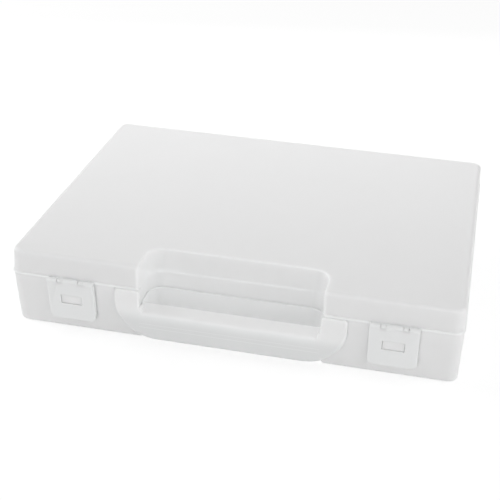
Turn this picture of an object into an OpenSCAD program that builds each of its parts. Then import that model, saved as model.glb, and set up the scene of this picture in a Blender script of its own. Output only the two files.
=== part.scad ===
// Clip-lid carry case for photographs, moulded in frosted natural polypropylene.
// Millimetres. The case lies flat on its base: +Z is up, the latches and the carry handle face -Y,
// and the hinges are at +Y. The origin is the middle of the flat underside.

/* [Case] */
// Width over the lid rim
case_w = 375; // [330:1:420]
// Depth over the lid rim, without latches and hinges
case_d = 290.6; // [260:0.2:330]
// Height with the lid closed
case_h = 72; // [64:0.5:90]
// Height of the rim of the base
seam_h = 50; // [44:0.5:56]
// Thickness of the side walls
wall = 2.2; // [1.8:0.1:3]
// Thickness of the floor of the base
floor_t = 2.4; // [1.8:0.1:4]
// Thickness of the top of the lid
top_t = 2.2; // [1.8:0.1:4]
// Radius of the upright corners
corner_r = 8.5; // [7:0.5:14]
// Radius of the edge round the underside
base_edge_r = 4; // [3.4:0.2:6]
// Radius of the edge round the top
lid_edge_r = 3.6; // [3.2:0.2:6]
// How far the front and back of the base lean in towards the floor
base_lean_y = 6.6; // [2:0.2:8]
// How far the sides of the base lean in towards the floor
base_lean_x = 0.8; // [0.4:0.2:3]
// How far the walls of the lid lean in towards the top
lid_lean = 1; // [0.4:0.2:2]

/* [Rim] */
// How far the bead along the rim of the lid stands out
bead_out = 0.7; // [0.4:0.1:1.2]
// Height of that bead
bead_h = 1.6; // [1.2:0.1:2.4]
// Height of the tongue of the base that stands inside the lid
tongue_h = 4; // [3:0.5:6]
// Thickness of the tongue
tongue_t = 1.4; // [1:0.1:2]

/* [Finger notch] */
// Width of the notch in the front
notch_w = 151; // [120:1:170]
// Depth of the notch, back from the rim
notch_d = 35; // [31:0.5:42]
// Radius of the inner corners of the notch
notch_r = 13; // [8:0.5:18]
// Radius of the two corners at the mouth of the notch
mouth_r = 3; // [1:0.5:4]
// Height at which the lid meets the base inside the notch
notch_seam_h = 35; // [28:0.5:40]
// Depth of the full-height post of the base at each side of the mouth
post_d = 5.6; // [5:0.2:8]

/* [Carry handle] */
// Width of each arm
arm_w = 21; // [18:0.5:26]
// How far the handle stands out from the rim of the lid
handle_out = 2.4; // [2:0.1:6]
// Height of the underside of the handle above the floor
handle_foot = 4.2; // [1:0.1:6]
// Height of the top of the grip bar at its back
bar_top = 35; // [28:0.5:38]
// How much lower the top of the grip bar is at its front
bar_fall = 3; // [0:0.2:4]
// Depth of the grip bar
bar_d = 11.4; // [9:0.2:13]
// Radius of the long edge over the front of the grip bar
bar_edge_r = 4.5; // [3:0.5:6]
// Radius of the long edge under the front of the grip bar
bar_under_r = 6; // [3:0.5:8]
// Radius of the long edge at the back of the grip bar
bar_back_r = 1.6; // [1:0.2:2]
// Radius of the two lower corners, seen from the front
handle_corner_r = 36; // [20:1:38]
// Radius of the two upper corners, seen from the front
handle_top_r = 3; // [1:0.5:6]
// Radius of the upright edges of the handle
handle_side_r = 2.2; // [1:0.2:2.4]
// Wall of the handle, which is hollow from behind
handle_wall = 2.2; // [1.6:0.1:3]
// Height of the lower of the two ridge lines along the front
ridge_z = 17.2; // [14:0.2:20]
// Distance between the two ridge lines
ridge_step = 3.4; // [2:0.2:5]
// How far the ridges stand out
ridge_out = 0.6; // [0.3:0.1:1]
// Thickness of a ridge
ridge_t = 1; // [0.6:0.1:1.6]
// Number of cross ribs in the hollow of the bar
rib_count = 6; // [2:1:10]
// Thickness of a cross rib, and how far its back edge is set in
rib_t = 1.6; // [1:0.1:2.4]
// Radius of the pegs that hold the arms in the front wall
peg_r = 2.5; // [1.5:0.1:4]
// Height of the lower peg
peg_z = 24; // [20:0.5:26]
// Distance between the two pegs of an arm
peg_step = 14; // [8:0.5:16]
// How far a peg comes through the wall
peg_past = 0.8; // [0.4:0.1:1.5]

/* [Latches] */
// How far the centre of a latch lies inwards of halfway between the handle and the side of the case
latch_in = 8.5; // [4:0.5:12]
// Width of a latch
latch_w = 39.5; // [30:0.5:46]
// Length of a latch below its pivot
latch_l = 37.4; // [30:0.2:40]
// Thickness of the plate of a latch
latch_t = 2; // [1.4:0.1:3]
// Radius of the two free corners of a latch
latch_corner_r = 6; // [2:0.5:8]
// Radius of the barrel at the top of a latch
latch_barrel_r = 2.3; // [2:0.1:3]
// How far the barrel stands out in front of the plate
plate_step = 0.3; // [0.2:0.1:0.6]
// Width of each side flange
flange_t = 1.6; // [1:0.1:2.4]
// Width of the catch window
window_w = 18; // [12:0.5:22]
// Height of the catch window
window_h = 9; // [6:0.5:11]
// Distance from the pivot down to the top of the window
window_drop = 12.6; // [9:0.2:15]
// Width of each of the two lugs on the lid that carry a latch
lug_w = 4; // [3:0.2:6]
// Distance from the middle of a latch to a lug
lug_x = 9; // [6:0.5:11]
// Radius of the latch pins
latch_pin_r = 1.1; // [0.8:0.05:1.3]
// Height of the latch pivot above the rim of the base
latch_rise = 0.5; // [0.3:0.1:1.5]
// Play between the catch nub and the plate, and between the nub and the sides of the window
nub_gap = 0.4; // [0.3:0.05:0.8]

/* [Hinges] */
// Distance from the side of the case to the centre of a hinge
hinge_end = 95.5; // [70:0.5:120]
// Length of a hinge
hinge_w = 48; // [36:1:70]
// Width of the knuckle of the lid
lid_knuckle_w = 23; // [14:0.5:30]
// Radius of the knuckles
knuckle_r = 3; // [2.6:0.1:4]
// Radius of the hinge pins
hinge_pin_r = 1.5; // [1:0.05:1.8]
// Height of the gusset of a knuckle on the wall
gusset_h = 9; // [6:0.5:12]

/* [Fits] */
// Gap between pieces that move past each other
fit_gap = 0.3; // [0.2:0.05:0.5]
// Side gap between knuckles, lugs and barrels
side_gap = 0.4; // [0.3:0.05:0.8]
// Radial play of a pin where a piece turns on it
turn_play = 0.06; // [0.02:0.01:0.1]
// Radial play of a pin or peg where it is held
hold_play = 0.01; // [0.01:0.01:0.02]
// Gap in front of the hanging notch wall of the lid, which swings forward a little as the lid opens
swing_gap = 1; // [0.8:0.1:1.5]

/* [Hidden] */
$fn = 64;
facets = 32;
arc_steps = 10;
over = 1;

natural = [0.87, 0.88, 0.88];
clear_lid = [0.91, 0.92, 0.92];
pin_white = [0.95, 0.95, 0.94];

// Plan of the base at its rim and at its floor, and of the lid above its bead and at its top
base_rim = [case_w - 2 * bead_out, case_d - 2 * bead_out];
base_foot = [base_rim.x - 2 * base_lean_x, base_rim.y - 2 * base_lean_y];
lid_foot = base_rim;
lid_top = [lid_foot.x - 2 * lid_lean, lid_foot.y - 2 * lid_lean];
lid_z = seam_h + fit_gap;

// The tongue stands clear of the inside of the lid, which leans in by a share of lid_lean beside it
tongue_in = wall + fit_gap + lid_lean * tongue_h / (case_h - lid_z);
tongue_root = 5;

front = -case_d / 2;
notch_back = front + notch_d;
post_back = front + post_d;

handle_front = front - handle_out;
bar_back = handle_front + bar_d;
handle_half = notch_w / 2 + arm_w;
bar_half = notch_w / 2 - fit_gap;
handle_top = seam_h - 2 * fit_gap;
peg_x = notch_w / 2 + mouth_r + peg_r + handle_wall;

// Slope of the top of the bar: the line that touches its front and back edge rounds from above
round_step = bar_edge_r - bar_back_r;
round_y = bar_d - bar_edge_r - bar_back_r;
bar_slope = acos(round_step / norm([round_y, bar_fall + round_step])) - atan2(round_y, bar_fall + round_step);

latch_x = (handle_half + case_w / 2) / 2 - latch_in;
latch_y = front - latch_barrel_r - fit_gap;
latch_z = seam_h + latch_rise;
plate_front = latch_y - latch_barrel_r + plate_step;
plate_back = plate_front + latch_t;
// A latch leans back about its pivot as much as the front wall of the base does
latch_lean = atan(base_lean_y / seam_h);

hinge_x = case_w / 2 - hinge_end;
hinge_y = case_d / 2 + knuckle_r + side_gap;
hinge_z = seam_h + fit_gap / 2;

// Outer face of the front wall of the base at height z
function front_wall(z) = -base_rim.y / 2 + base_lean_y * (seam_h - z) / seam_h;

// Rounded rectangle
module plan(size, r) {
    square([size.x - 2 * r, size.y], center = true);
    square([size.x, size.y - 2 * r], center = true);
    for (x = [-1, 1], y = [-1, 1])
        translate([x * (size.x / 2 - r), y * (size.y / 2 - r)]) circle(r);
}

// Outline of the notch, grown all round, which runs out past the front of the case
module notch_plan(grow = 0) {
    half = notch_w / 2 + grow;
    far = case_d;
    translate([-half, -far]) square([2 * half, far + notch_back - notch_r]);
    translate([-(notch_w / 2 - notch_r), -far]) square([notch_w - 2 * notch_r, far + notch_back + grow]);
    for (x = [-1, 1])
        translate([x * (notch_w / 2 - notch_r), notch_back - notch_r]) circle(notch_r + grow);
}

// The slivers that round the two corners at the mouth of the notch
module mouth_plan() {
    for (x = [-1, 1]) scale([x, 1]) difference() {
        translate([notch_w / 2 - over, front - over]) square([mouth_r + over, mouth_r + over]);
        translate([notch_w / 2 + mouth_r, front + mouth_r + bead_out]) circle(mouth_r);
        translate([notch_w / 2, front + mouth_r]) square([mouth_r + over, mouth_r + over]);
    }
}

module notch_cut(z0, z1, grow = 0) {
    translate([0, 0, z0]) linear_extrude(z1 - z0) notch_plan(grow);
}

// One corner of a soft block: a disc, or a ring of round section where the edge is rounded
module block_corner(r, edge, z, inward) {
    if (edge > 0)
        translate([0, 0, z + inward * edge])
            rotate_extrude($fn = facets) translate([r - edge, 0]) circle(edge, $fn = facets);
    else
        translate([0, 0, inward > 0 ? z : z - 0.01]) cylinder(r = r, h = 0.01, $fn = facets);
}

// A block with leaning walls, upright corners of radius r, and a rounded lower or upper edge
module soft_block(low, high, z0, z1, r, low_edge, high_edge) {
    hull() {
        for (x = [-1, 1], y = [-1, 1]) {
            translate([x * (low.x / 2 - r), y * (low.y / 2 - r)]) block_corner(r, low_edge, z0, 1);
            translate([x * (high.x / 2 - r), y * (high.y / 2 - r)]) block_corner(r, high_edge, z1, -1);
        }
    }
}

// The base before its notch is cut
module base_block() {
    soft_block(base_foot, base_rim, 0, seam_h, corner_r, base_edge_r, 0);
}

module base_form() {
    difference() {
        base_block();
        notch_cut(-over, seam_h + over);
        translate([0, 0, -over]) linear_extrude(seam_h + 2 * over) mouth_plan();
    }
}

module base_hollow() {
    inner = 2 * wall;
    rise = seam_h - floor_t;
    slope = base_lean_y / seam_h;
    difference() {
        soft_block([base_foot.x - inner, base_foot.y - inner + 2 * slope * floor_t],
                   [base_rim.x - inner + 2 * base_lean_x * over / rise,
                    base_rim.y - inner + 2 * base_lean_y * over / rise],
                   floor_t, seam_h + over, corner_r - wall, base_edge_r - wall, 0);
        notch_cut(0, seam_h + 2 * over, wall);
    }
}

// The tongue inside the rim of the base, with its root on the wall below
module tongue() {
    outer = [base_rim.x - 2 * tongue_in, base_rim.y - 2 * tongue_in];
    inner = [outer.x - 2 * tongue_t, outer.y - 2 * tongue_t];
    root = [base_rim.x - wall, base_rim.y - wall];
    difference() {
        union() {
            translate([0, 0, seam_h - over]) linear_extrude(tongue_h + over) plan(outer, corner_r - tongue_in);
            translate([0, 0, seam_h - tongue_root]) linear_extrude(tongue_root) plan(root, corner_r - wall / 2);
        }
        translate([0, 0, seam_h - tongue_root - over]) linear_extrude(tongue_h + tongue_root + 2 * over)
            plan(inner, corner_r - tongue_in - tongue_t);
        notch_cut(0, case_h, wall + side_gap + swing_gap);
    }
}

// Catch nub under the window of a latch: its flat underside is what the latch holds
module catch_nub() {
    low = latch_z - window_drop - window_h + nub_gap;
    high = latch_z - window_drop - nub_gap;
    mid = (low + high) / 2;
    // The nub ends just behind the leaning plate
    function face(z) = latch_y + (plate_back - latch_y + nub_gap) / cos(latch_lean) + (latch_z - z) * tan(latch_lean);
    root = front_wall(low) + wall / 2;
    half = window_w / 2 - 2 * nub_gap;
    translate([-half, 0, 0]) rotate([90, 0, 90]) linear_extrude(2 * half)
        polygon([[root, low], [face(low), low], [face(mid), mid], [face(high) + 1.5, high], [root, high]]);
}

// One knuckle of a hinge, centred on its width; up is 1 for the lid and -1 for the base
module knuckle(width, up) {
    root = base_rim.y / 2 - wall / 2;
    lean = knuckle_r * sin(45);
    translate([-width / 2, 0, 0]) rotate([90, 0, 90]) linear_extrude(width) {
        translate([hinge_y, hinge_z]) circle(knuckle_r);
        polygon([[root, hinge_z + up * fit_gap / 2], [hinge_y, hinge_z + up * fit_gap / 2],
                 [hinge_y + lean, hinge_z + up * lean], [root, hinge_z + up * gusset_h]]);
    }
}

module hinge_bore(r) {
    translate([-hinge_w, hinge_y, hinge_z]) rotate([0, 90, 0]) cylinder(r = r, h = 2 * hinge_w);
}

module base_tray() {
    side_w = (hinge_w - lid_knuckle_w) / 2 - side_gap;
    color(natural) difference() {
        union() {
            difference() {
                base_form();
                base_hollow();
                // Round the notch the rim drops, all but the posts at its mouth
                intersection() {
                    notch_cut(notch_seam_h, seam_h + over, wall + side_gap);
                    translate([-case_w / 2, post_back, 0]) cube([case_w, notch_d, case_h]);
                }
            }
            tongue();
            for (x = [-1, 1]) translate([x * latch_x, 0, 0]) catch_nub();
            for (x = [-1, 1], side = [-1, 1])
                translate([x * hinge_x + side * (hinge_w - side_w) / 2, 0, 0]) knuckle(side_w, -1);
        }
        for (x = [-1, 1]) translate([x * hinge_x, 0, 0]) hinge_bore(hinge_pin_r + hold_play);
        pegs(peg_r + hold_play, over + peg_past);
    }
}

// Two lugs on the lid that carry the pin of a latch
module latch_lugs() {
    root = -lid_foot.y / 2 + wall / 2;
    for (x = [-1, 1]) translate([x * lug_x - lug_w / 2, 0, 0]) rotate([90, 0, 90]) linear_extrude(lug_w) {
        translate([latch_y, latch_z]) circle(latch_barrel_r);
        polygon([[root, lid_z], [latch_y, lid_z], [latch_y, latch_z + latch_barrel_r],
                 [root, latch_z + latch_barrel_r]]);
    }
}

module lid_form() {
    difference() {
        union() {
            soft_block(lid_foot, lid_top, lid_z, case_h, corner_r, 0, lid_edge_r);
            translate([0, 0, lid_z]) linear_extrude(bead_h) plan([case_w, case_d], corner_r + bead_out);
            // The wall round the notch hangs lower than the rim
            translate([0, 0, notch_seam_h + fit_gap]) linear_extrude(lid_z - notch_seam_h) intersection() {
                notch_plan(wall);
                translate([-case_w / 2, post_back + swing_gap]) square([case_w, notch_d]);
            }
        }
        notch_cut(0, case_h + over);
        translate([0, 0, lid_z - over]) linear_extrude(case_h) mouth_plan();
    }
}

module lid_hollow() {
    inner = 2 * wall;
    difference() {
        soft_block([lid_foot.x - inner, lid_foot.y - inner], [lid_top.x - inner, lid_top.y - inner],
                   lid_z - over, case_h - top_t, corner_r - wall, 0, lid_edge_r - wall);
        notch_cut(0, case_h, wall);
    }
}

module lid_shell() {
    color(clear_lid) difference() {
        union() {
            difference() {
                lid_form();
                lid_hollow();
            }
            for (x = [-1, 1]) translate([x * hinge_x, 0, 0]) knuckle(lid_knuckle_w, 1);
            for (x = [-1, 1]) translate([x * latch_x, 0, 0]) latch_lugs();
        }
        for (x = [-1, 1]) translate([x * hinge_x, 0, 0]) hinge_bore(hinge_pin_r + turn_play);
        for (x = [-1, 1]) translate([x * latch_x, 0, 0]) latch_bore(latch_pin_r + hold_play);
    }
}

// Points of an arc about (y, z), from angle a0 to a1
function arc(y, z, r, a0, a1) = [for (i = [0:arc_steps]) let (a = a0 + (a1 - a0) * i / arc_steps)
    [y + r * cos(a), z + r * sin(a)]];

// Side profile of the grip bar, taken in by inset but for its back
module bar_profile(inset, back) {
    y = handle_front + bar_edge_r;
    z = bar_top - bar_fall - bar_edge_r;
    r = bar_edge_r - inset;
    // Height of the sloping top above the back edge
    back_z = z + r / cos(bar_slope) + (back - y) * tan(bar_slope);
    polygon(concat(
        arc(y, z, r, 90 + bar_slope, 180),
        arc(handle_front + bar_under_r, handle_foot + bar_under_r, bar_under_r - inset, 180, 270),
        [[back, handle_foot + inset]],
        inset > 0 ? [[back, back_z]] : arc(back - bar_back_r, bar_top - bar_back_r, bar_back_r, 0, 90 + bar_slope)));
}

// Side profile of an arm, which keeps the full depth up to its top
module arm_profile(inset, back) {
    bar_profile(inset, back);
    translate([handle_front + inset, handle_foot + bar_under_r])
        square([back - handle_front - inset, handle_top - inset - handle_foot - bar_under_r]);
}

// Front outline of the handle with round corners, taken in by inset
module handle_outline(inset) {
    half = handle_half - inset;
    r = handle_corner_r - inset;
    top_r = max(handle_top_r - inset, handle_top_r / 4);
    foot = handle_foot + inset;
    top = handle_top - inset;
    translate([-half + r, foot]) square([2 * (half - r), top - foot]);
    translate([-half, foot + r]) square([2 * half, top - top_r - foot - r]);
    translate([-half + top_r, foot + r]) square([2 * (half - top_r), top - foot - r]);
    for (x = [-1, 1]) {
        translate([x * (half - r), foot + r]) circle(r);
        translate([x * (half - top_r), top - top_r]) circle(top_r);
    }
}

// A side profile carried across the case from x0 to x1
module across(x0, x1) {
    translate([x0, 0, 0]) rotate([90, 0, 90]) linear_extrude(x1 - x0) children();
}

// The whole form of the handle, before it is hollowed: bar, two arms, and their round outline
module handle_form() {
    intersection() {
        union() {
            across(-bar_half, bar_half) bar_profile(0, bar_back);
            for (x = [0, 1]) mirror([x, 0, 0]) across(bar_half, handle_half) arm_profile(0, bar_back);
        }
        translate([0, bar_back, 0]) rotate([90, 0, 0]) linear_extrude(2 * bar_d) handle_outline(0);
        translate([0, handle_front + bar_d, 0]) linear_extrude(case_h)
            plan([2 * handle_half, 2 * bar_d], handle_side_r);
    }
}

// The hollow, open behind: one along the bar and one in each arm, with a wall between them
module handle_hollow() {
    inner_half = handle_half - handle_wall;
    inner_bar = bar_half - handle_wall;
    back = bar_back + over;
    intersection() {
        union() {
            across(-inner_bar, inner_bar) bar_profile(handle_wall, back);
            for (x = [0, 1]) mirror([x, 0, 0]) {
                across(bar_half, inner_half) bar_profile(handle_wall, back);
                across(bar_half + handle_wall, inner_half) arm_profile(handle_wall, back);
            }
        }
        translate([0, back + over, 0]) rotate([90, 0, 0]) linear_extrude(2 * bar_d) handle_outline(handle_wall);
    }
}

// Cross ribs in the hollow of the bar
module handle_ribs() {
    step = 2 * bar_half / (rib_count + 1);
    for (i = [1:rib_count]) across(i * step - bar_half - rib_t / 2, i * step - bar_half + rib_t / 2)
        bar_profile(handle_wall / 2, bar_back - rib_t);
}

// Two raised lines along the front of the bar
module handle_ridges() {
    for (i = [0, 1]) translate([-bar_half, handle_front - ridge_out, ridge_z + i * ridge_step - ridge_t / 2])
        cube([2 * bar_half, ridge_out + handle_wall / 2, ridge_t]);
}

// Pegs of the arms, through the front wall; past is how far they come out behind it
module pegs(r, past) {
    start = handle_front + handle_wall / 2;
    for (x = [-1, 1], i = [0, 1]) {
        z = peg_z + i * peg_step;
        translate([x * peg_x, start, z]) rotate([-90, 0, 0]) cylinder(r = r, h = front_wall(z) + wall + past - start);
    }
}

module carry_handle() {
    color(natural) union() {
        difference() {
            handle_form();
            // The arms end at the front wall
            difference() {
                base_block();
                across(-bar_half, bar_half) translate([-case_d, -over]) square([2 * case_d, case_h]);
            }
            handle_hollow();
        }
        handle_ribs();
        handle_ridges();
        pegs(peg_r, peg_past);
    }
}

module latch_bore(r) {
    translate([-latch_w, latch_y, latch_z]) rotate([0, 90, 0]) cylinder(r = r, h = 2 * latch_w);
}

module latch() {
    low = latch_z - latch_l;
    half = latch_w / 2;
    color(natural) translate([0, latch_y, latch_z]) rotate([latch_lean, 0, 0]) translate([0, -latch_y, -latch_z]) difference() {
        union() {
            translate([-half, latch_y, latch_z]) rotate([0, 90, 0]) cylinder(r = latch_barrel_r, h = latch_w);
            translate([0, plate_back, 0]) rotate([90, 0, 0]) linear_extrude(latch_t) {
                translate([-half, low + latch_corner_r]) square([latch_w, latch_l - latch_corner_r]);
                translate([-half + latch_corner_r, low]) square([latch_w - 2 * latch_corner_r, latch_l]);
                for (x = [-1, 1])
                    translate([x * (half - latch_corner_r), low + latch_corner_r]) circle(latch_corner_r);
            }
            for (x = [-1, 1]) translate([x * (half - flange_t / 2) - flange_t / 2, 0, 0])
                rotate([90, 0, 90]) linear_extrude(flange_t)
                    polygon([[plate_front + latch_t / 2, low + latch_corner_r], [front + fit_gap, low + latch_corner_r],
                             [front, latch_z - latch_barrel_r / 2], [plate_front + latch_t / 2, latch_z - latch_barrel_r / 2]]);
        }
        latch_bore(latch_pin_r + turn_play);
        // Slots for the two lugs of the lid
        for (x = [-1, 1]) translate([x * lug_x - lug_w / 2 - side_gap, latch_y, latch_z]) rotate([0, 90, 0])
            cylinder(r = latch_barrel_r + side_gap, h = lug_w + 2 * side_gap);
        translate([-window_w / 2, plate_front - over, latch_z - window_drop - window_h])
            cube([window_w, latch_t + 2 * over, window_h]);
    }
}

module latch_pin() {
    color(pin_white) translate([-latch_w / 2 + side_gap, latch_y, latch_z]) rotate([0, 90, 0])
        cylinder(r = latch_pin_r, h = latch_w - 2 * side_gap);
}

module hinge_pin() {
    color(pin_white) translate([-hinge_w / 2 + side_gap, hinge_y, hinge_z]) rotate([0, 90, 0])
        cylinder(r = hinge_pin_r, h = hinge_w - 2 * side_gap);
}

base_tray();
lid_shell();
carry_handle();
translate([-latch_x, 0, 0]) latch();  // latch_left
translate([latch_x, 0, 0]) latch();  // latch_right
translate([-hinge_x, 0, 0]) hinge_pin();  // hinge_pin_left
translate([hinge_x, 0, 0]) hinge_pin();  // hinge_pin_right
translate([-latch_x, 0, 0]) latch_pin();  // latch_pin_left
translate([latch_x, 0, 0]) latch_pin();  // latch_pin_right
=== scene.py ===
"""Photo keeper case in frosted polypropylene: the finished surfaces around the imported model.

Sizes are in millimetres in the tables below and become metres where a mesh is made. The case lies flat,
with +Z up and its latches and handle at -Y.
"""
import math

import bmesh
import bpy
import numpy as np
from mathutils import Matrix, Vector


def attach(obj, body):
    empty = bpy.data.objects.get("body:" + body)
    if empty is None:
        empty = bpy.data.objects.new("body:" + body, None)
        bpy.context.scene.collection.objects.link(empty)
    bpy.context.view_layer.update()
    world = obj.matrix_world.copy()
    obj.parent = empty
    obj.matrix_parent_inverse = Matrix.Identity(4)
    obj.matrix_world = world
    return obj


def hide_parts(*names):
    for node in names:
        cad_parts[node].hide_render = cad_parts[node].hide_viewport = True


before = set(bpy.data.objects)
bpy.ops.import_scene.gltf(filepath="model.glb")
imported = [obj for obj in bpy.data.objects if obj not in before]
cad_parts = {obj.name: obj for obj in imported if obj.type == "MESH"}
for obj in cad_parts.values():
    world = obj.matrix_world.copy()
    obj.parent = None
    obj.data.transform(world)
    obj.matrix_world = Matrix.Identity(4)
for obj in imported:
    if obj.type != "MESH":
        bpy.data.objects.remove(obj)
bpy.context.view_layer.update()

MM = 0.001

# Camera that sees the case as the photograph does: width of the picture and focal length in pixels, width
# of the sensor and place of the camera in millimetres, turns in degrees, and how far it sees in metres
IMAGE = 500
FOCAL = 1085.75
SENSOR = 36.0
CAMERA_AT = (169.4, -867.5, 506.0)
YAW, PITCH, ROLL = 11.99, 28.72, 1.69
CAMERA_REACH = 20


def make_camera():
    """Camera whose forward axis comes from yaw and pitch, with right and up turned about it by the roll."""
    yaw, pitch, roll = (math.radians(a) for a in (YAW, PITCH, ROLL))
    forward = Vector((-math.sin(yaw) * math.cos(pitch), math.cos(yaw) * math.cos(pitch), -math.sin(pitch)))
    level = Vector((math.cos(yaw), math.sin(yaw), 0))
    upright = level.cross(forward)
    right = level * math.cos(roll) + upright * math.sin(roll)
    up = upright * math.cos(roll) - level * math.sin(roll)
    data = bpy.data.cameras.new("camera")
    data.sensor_width = SENSOR
    data.lens = FOCAL / IMAGE * SENSOR
    data.clip_end = CAMERA_REACH
    camera = bpy.data.objects.new("camera", data)
    axes = Matrix((right, up, -forward)).transposed().to_4x4()
    camera.matrix_world = Matrix.Translation(Vector(CAMERA_AT) * MM) @ axes
    bpy.context.scene.collection.objects.link(camera)
    bpy.context.scene.camera = camera


make_camera()

# Sizes of the case, as in the frame
CASE_W, CASE_D, CASE_H = 375.0, 290.6, 72.0
SEAM = 50.0
GAP = 0.3
WALL = 2.2
FLOOR_T = 2.4
TOP_T = 2.2
BEAD_OUT, BEAD_H = 0.7, 1.6
CORNER_R = 8.5
BASE_EDGE_R = 4.0
LID_EDGE_R = 3.6
BASE_LEAN = (0.8, 6.6)
LID_LEAN = (1.0, 1.0)
TONGUE_H, TONGUE_T = 4.0, 1.4
TONGUE_ROOT = 5.0
NOTCH_W, NOTCH_D, NOTCH_R, MOUTH_R = 151.0, 35.0, 13.0, 3.0
NOTCH_SEAM = 35.0
POST_D = 5.6
SWING_GAP = 1.0
# The wall of the notch in the lid is set back a little, so that the rim below it shows as a ledge
NOTCH_LEDGE = 0.7
# Edge round of the lid's top along the notch
NOTCH_EDGE_R = 1.4
# Radius of the softened edges, and of the lid's lower ones
SOFT, RIM_SOFT = 0.35, 0.06
# Gap left between lid and base, which touch all round when a real case is shut
LINE = 0.03
# Upper edge of the bead, as rows of how far it has swelled out and how high they lie above its top
BEAD_START = 0.6
BEAD_FORM = ((0.06, 0.35), (0.3, 0.15), (0.75, 0.0), (1.0, -0.35))
# How far the tongue stops beside the mouth of the notch
TONGUE_STOP = 0.7
# How far behind its back wall the notch still counts as such
NOTCH_ROOM = 1.0
# Rows that hold a flat face straight beside its edge round: two on an outer face, and one on an inner face
HOLD_NEAR, HOLD_FAR, HOLD_INSIDE = 0.5, 2.5, 2.0
# Rows that hold a wall straight: below the base's rim, below the root of its tongue and below its rim in
# the notch, and inside the lid above its rim and above its bead
RIM_HOLD, TONGUE_HOLD, NOTCH_HOLD, LID_HOLD, BEAD_HOLD = 1.2, 1.5, 0.2, 2.0, 4.0
# Small edge rounds, as shares of their radius: how far before one its wall is held, and the middle point
# of one that has three
SOFT_ABOVE, SOFT_MID = 1.5, 0.3
# Heights of plain rows in the base's wall, outside and inside
BASE_ROWS = (NOTCH_SEAM - 4, 22, 12)
BASE_INNER_ROWS = (FLOOR_T + 12, NOTCH_SEAM - 8)
# Half the distance between the two points where the height of the rim changes at once
STEP_HALF = 0.05
# Lengths that differ by less than this count as equal
NEAR = 0.01
# Edges turning by more than this, in degrees, stay sharp in the shading
SHARP_DEG = 32

ARM_W = 21.0
HANDLE_OUT = 2.4
HANDLE_FOOT = 4.2
HANDLE_WALL = 2.2
BAR_TOP, BAR_FALL, BAR_D = 35.0, 3.0, 11.4
BAR_EDGE_R, BAR_UNDER_R, BAR_BACK_R = 4.5, 6.0, 1.6
HANDLE_CORNER_R, HANDLE_TOP_R, HANDLE_SIDE_R = 36.0, 3.0, 2.2
# Edge round along the top of an arm, and the inner corner between bar and arm
ARM_TOP_EDGE_R, BAR_CORNER_R = 1.2, 1.0
# Length over which the slope of the bar's top sets in at either end, the spacing of its points, and how far
# past it the next point lies
BAR_RAMP, RAMP_STEP, RAMP_PAST = 1.6, 0.2, 0.5
# Rows between the handle's front edge round and its back edge, and in its hollow, as shares of the depth
SIDE_ROWS = (0.3, 0.6, 0.85)
HOLLOW_ROWS = (0.7, 0.4)
# Edge round in the hollow: its least radius, and the largest share of the hollow's depth that it takes
HOLLOW_R, HOLLOW_SHARE = 0.4, 0.35
# How far the last row on the floor of the hollow lies in from the edge round
HOLLOW_HOLD = 0.1
# The ridges across the bar are drawn only as painted highlights, not as shape
RIDGE_Z, RIDGE_STEP, RIDGE_T = 17.2, 3.4, 1.0
RIB_COUNT, RIB_T, RIB_SOFT = 6, 1.6, 0.2
PEG_R, PEG_Z, PEG_STEP, PEG_PAST = 2.5, 24.0, 14.0, 0.8
PEG_SOFT, PEG_SIDES = 0.3, 32

LATCH_X = 133.5
LATCH_BARREL_R = 2.3
LATCH_RISE = 0.5
LATCH_SOFT = 0.3
PLATE_STEP = 0.3
# Skin over the front of a latch's lug slots: thickness, gap to the lug, lap beside the slot and soft ends
SKIN, SKIN_GAP, SKIN_LAP, SKIN_SOFT = 0.45, 0.05, 0.1, 0.02
# Angles round the pin at which the skin starts above, and at which its inner face ends below
SKIN_TOP, SKIN_FOOT = 165, 205
LUG_W, LUG_X = 4.0, 9.0
# Height of the top of a lug's root above the pin
LUG_ROOT = 0.5
WINDOW_W, WINDOW_H, WINDOW_DROP = 18.0, 9.0, 12.6
# Catch nub: gap round it in the window, step back from the plate's face, soft corners, and how far its root
# lies behind the pivot
NUB_GAP, NUB_DROP, NUB_SOFT, NUB_ROOT = 0.12, 0.5, 0.4, 4.3
# Mesh of a latch: points closer than this are merged, and, in degrees, faces that turn by less are one flat
# face and edges that turn by more are rounded
MERGE, FLAT_DEG, CORNER_DEG = 0.002, 1, 40

HINGE_X, HINGE_W, LID_KNUCKLE_W = 92.0, 48.0, 23.0
KNUCKLE_R, GUSSET_H = 3.0, 9.0
# Share of a knuckle's radius at which the flat side of its gusset meets the eye
EYE_SIDE = 0.98
SIDE_GAP = 0.4

LID_Z = SEAM + LINE
HALF_W = CASE_W / 2 - BEAD_OUT
HALF_D = CASE_D / 2 - BEAD_OUT
NOTCH_HALF = NOTCH_W / 2
NOTCH_BACK = NOTCH_D - CASE_D / 2
FRONT = -CASE_D / 2

HANDLE_FRONT = FRONT - HANDLE_OUT
HANDLE_HALF = NOTCH_W / 2 + ARM_W
HANDLE_TOP = SEAM
BAR_HALF = NOTCH_W / 2 - GAP
PEG_X = NOTCH_W / 2 + MOUTH_R + PEG_R + HANDLE_WALL

LATCH_Y, LATCH_Z = FRONT - LATCH_BARREL_R - GAP, SEAM + LATCH_RISE
PLATE_FRONT = LATCH_Y - LATCH_BARREL_R + PLATE_STEP
HINGE_Y, HINGE_Z = CASE_D / 2 + KNUCKLE_R + SIDE_GAP, SEAM + GAP / 2


def leg(start, end, step, out):
    """Straight stretch of an outline: evenly spaced points, all with the same outward direction."""
    start, end = np.array(start, float), np.array(end, float)
    n = max(2, int(np.linalg.norm(end - start) / step) + 1)
    t = np.linspace(0, 1, n)[:, None]
    return start + t * (end - start), np.tile(np.array(out, float), (n, 1))


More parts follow.
